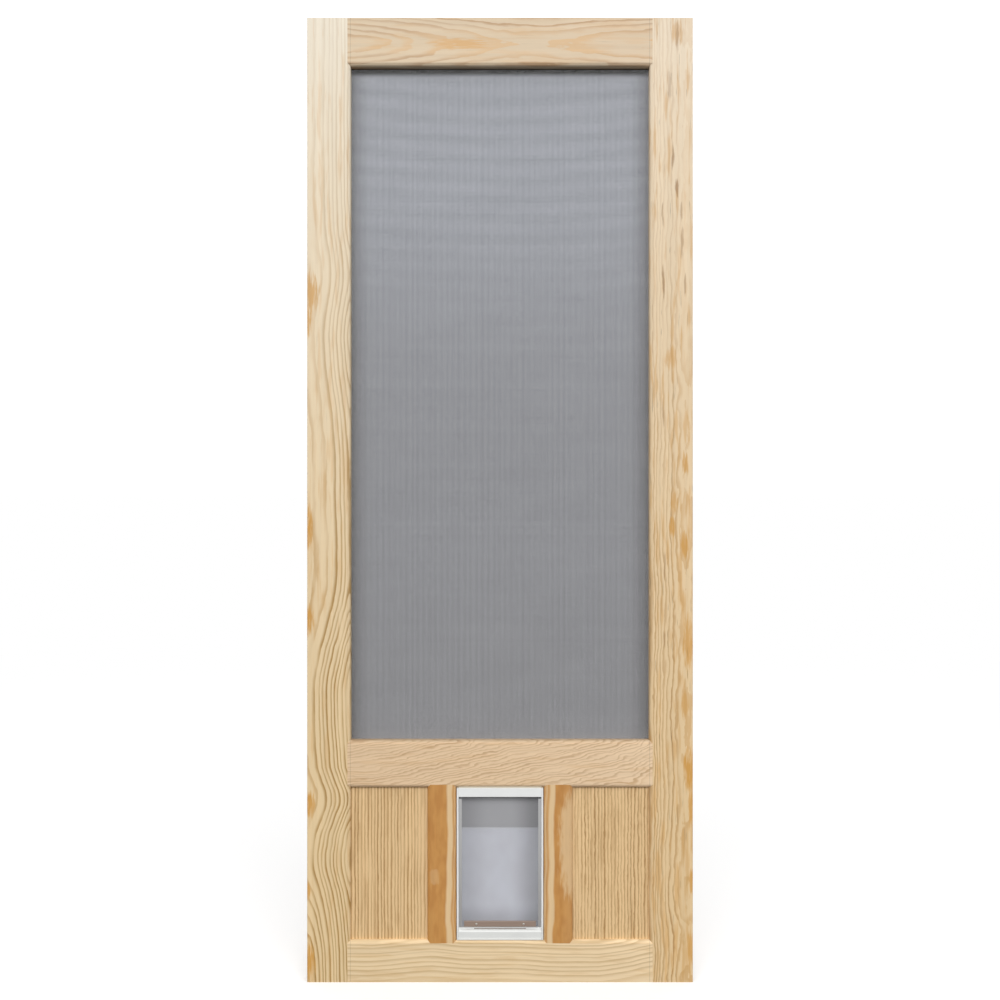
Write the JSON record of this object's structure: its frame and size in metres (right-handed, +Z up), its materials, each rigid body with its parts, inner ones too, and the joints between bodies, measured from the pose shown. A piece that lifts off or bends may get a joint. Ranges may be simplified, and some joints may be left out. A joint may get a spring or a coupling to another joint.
{
  "type": "wooden screen door with a pet flap",
  "caption": "Framed softwood screen door leaf with an insect screen above flat recessed panels and a white-framed swinging pet flap between short mullions.",
  "frame": {"origin": "bottom end of the hinge stile's outer edge face, at the middle of the leaf's thickness", "axes": "+X from the hinge edge to the latch edge, +Y from the front face to the back face, +Z up along the stiles"},
  "size_m": [0.8128, 0.0286, 2.032],
  "materials": {
    "pine_frame": "matte",
    "pine_mullion": "matte",
    "pine_panel": "matte",
    "pine_bead": "matte",
    "screen_cloth": "matte",
    "frame_white": "satin",
    "flap_magnet": "matte",
    "flap_vinyl": "gloss",
    "flap_strip": "satin",
    "rod_steel": "satin"
  },
  "bodies": {
    "door": {"hinge_stile": "pine_frame", "latch_stile": "pine_frame", "top_rail": "pine_frame", "middle_rail": "pine_frame", "bottom_rail": "pine_frame", "left_mullion": "pine_mullion", "right_mullion": "pine_mullion", "left_panel": "pine_panel", "right_panel": "pine_panel", "insect_screen": "screen_cloth", "screen_bead_left": "pine_bead", "screen_bead_right": "pine_bead", "screen_bead_bottom": "pine_bead", "screen_bead_top": "pine_bead", "pet_frame_left_jamb": "frame_white", "pet_frame_right_jamb": "frame_white", "pet_frame_head": "frame_white", "pet_frame_sill": "frame_white", "sill_magnet": "flap_magnet"},
    "flap": {"flap_sheet": "flap_vinyl", "flap_rod": "rod_steel", "flap_strip_front": "flap_strip", "flap_strip_back": "flap_strip"}
  },
  "joints": [
    {"name": "flap_swing", "type": "hinge", "parent": "door", "child": "flap", "pos_m": [0.4064, 0, 0.3848], "axis": [1, 0, 0], "range_deg": [-85, 85]}
  ]
}
